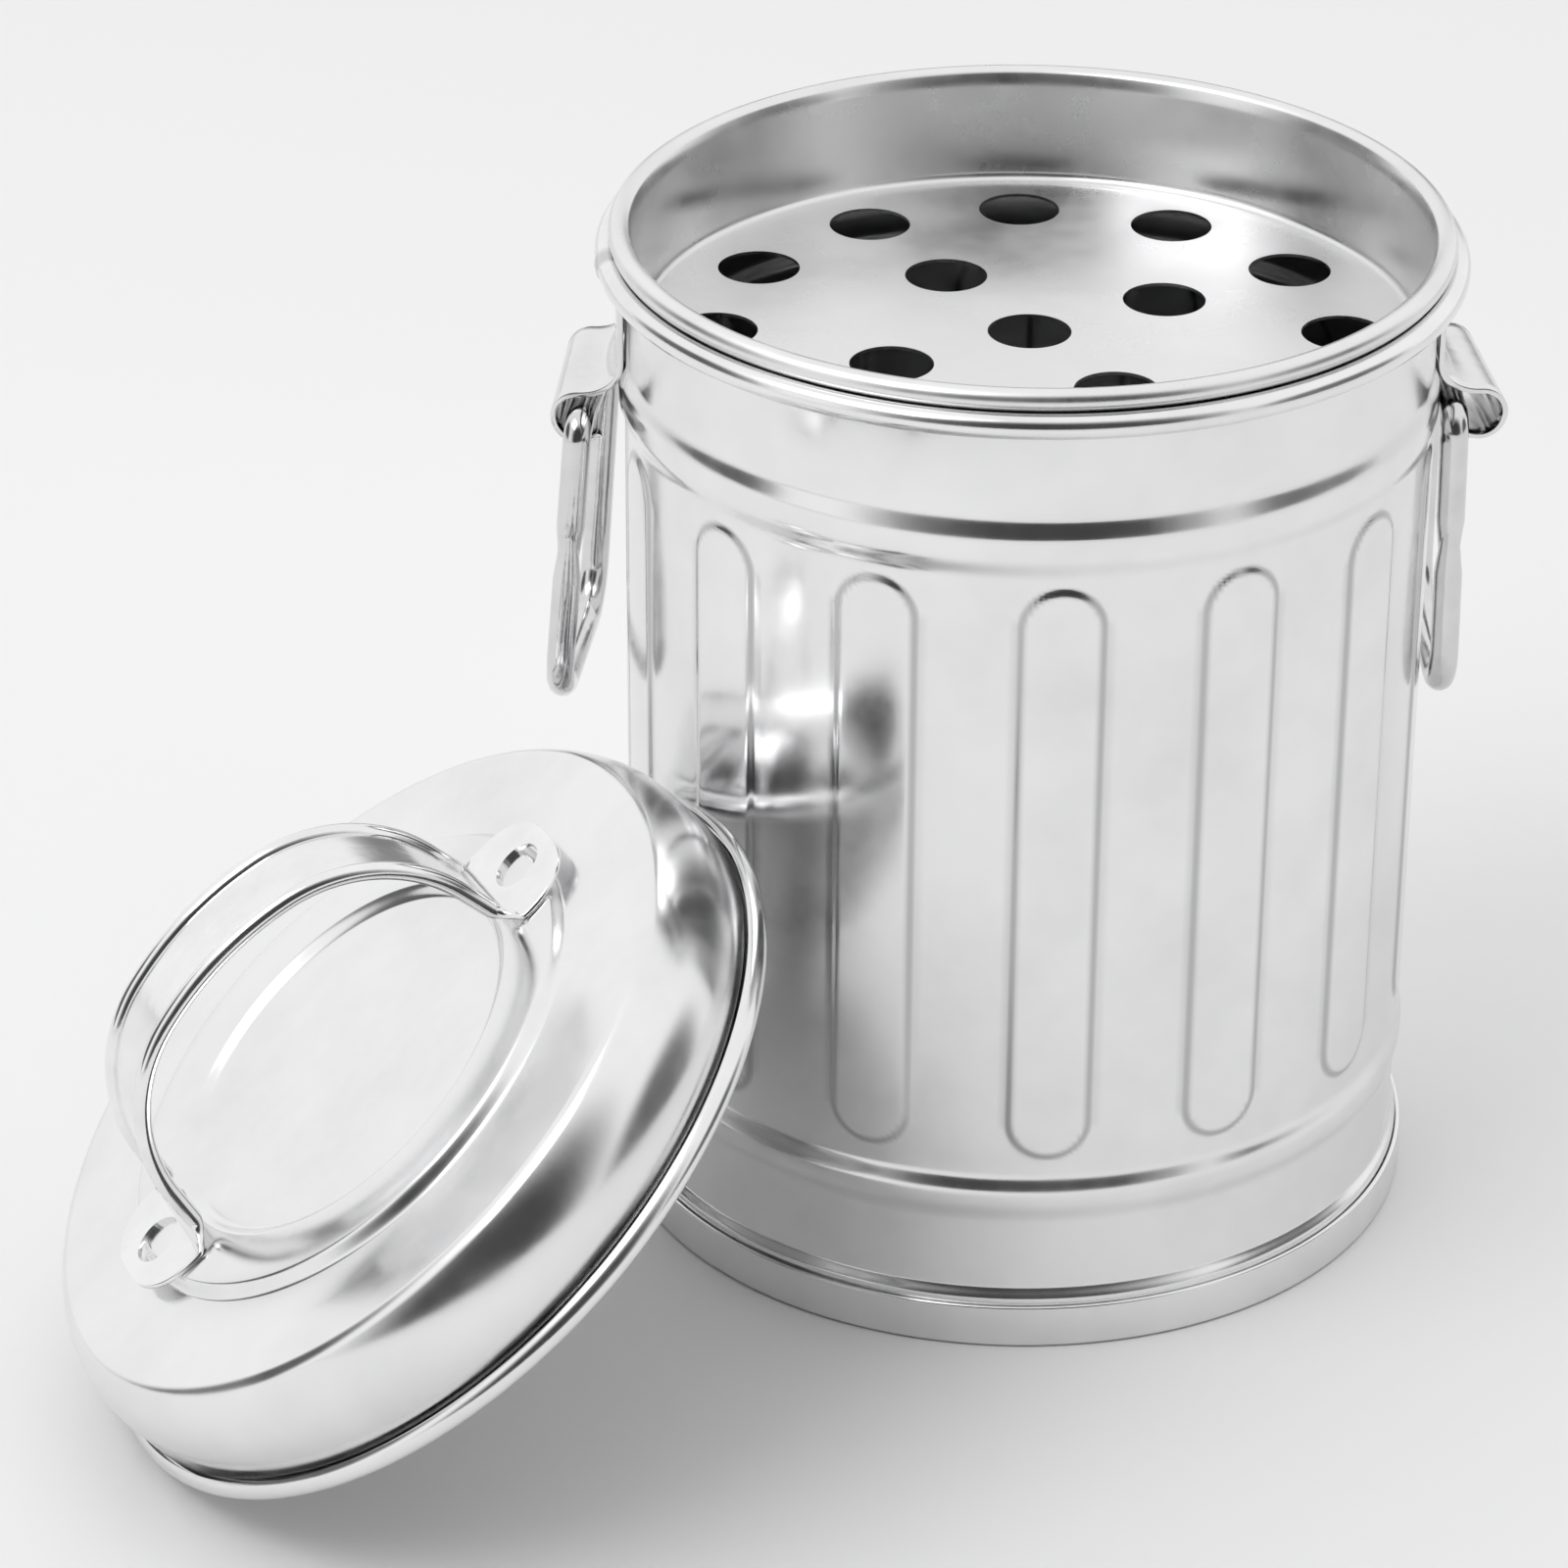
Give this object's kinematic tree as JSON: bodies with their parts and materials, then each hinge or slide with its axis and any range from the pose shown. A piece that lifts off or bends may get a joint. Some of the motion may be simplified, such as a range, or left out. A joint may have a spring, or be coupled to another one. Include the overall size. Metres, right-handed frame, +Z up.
{
  "type": "desktop trash can",
  "caption": "Small bright tinplate trash can with a fluted, ridged wall, ring handles in strap ears, a perforated tray in the mouth and a shouldered lid with a strap handle.",
  "frame": {"origin": "centre of the can's foot ring, in the plane that the can and the lid stand on", "axes": "+Z up along the can's axis; +X roughly towards the right ear, +Y away from the camera of the picture"},
  "size_m": [0.1715, 0.155, 0.1262],
  "materials": {
    "can_wall": "bright tinplate, nearly a mirror",
    "can_bottom": "bright tinplate",
    "tray": "satin tinplate with cloudy patches",
    "ears": "smooth bright tinplate strip",
    "rings": "plated round wire",
    "lid": "bright tinplate, satin on the side band",
    "strap": "bright tinplate strip with rolled edges"
  },
  "bodies": {
    "can": {"can_body": "can_wall", "can_bottom": "can_bottom", "left_ear": "ears", "right_ear": "ears"},
    "tray": {"perforated_tray": "tray"},
    "left_ring": {"left_ring_handle": "rings"},
    "right_ring": {"right_ring_handle": "rings"},
    "lid": {"lid_shell": "lid", "lid_strap_handle": "strap"}
  },
  "joints": [
    {"name": "tray_lift", "type": "slide", "parent": "can", "child": "tray", "axis": [0, 0, 1], "range_m": [0, 0.04]},
    {"name": "lid_lift", "type": "slide", "parent": "can", "child": "lid", "axis": [-0.5572, -0.4351, 0.7072], "range_m": [0, 0.15]},
    {"name": "left_ring_swing", "type": "hinge", "parent": "can", "child": "left_ring", "pos_m": [-0.05207, 0.00364, 0.10275], "axis": [0.1219, 0.9925, 0], "range_deg": [-6.5, 173]},
    {"name": "right_ring_swing", "type": "hinge", "parent": "can", "child": "right_ring", "pos_m": [0.05027, 0.00573, 0.1033], "axis": [0.0174, -0.9998, 0], "range_deg": [-0.4, 172]}
  ]
}
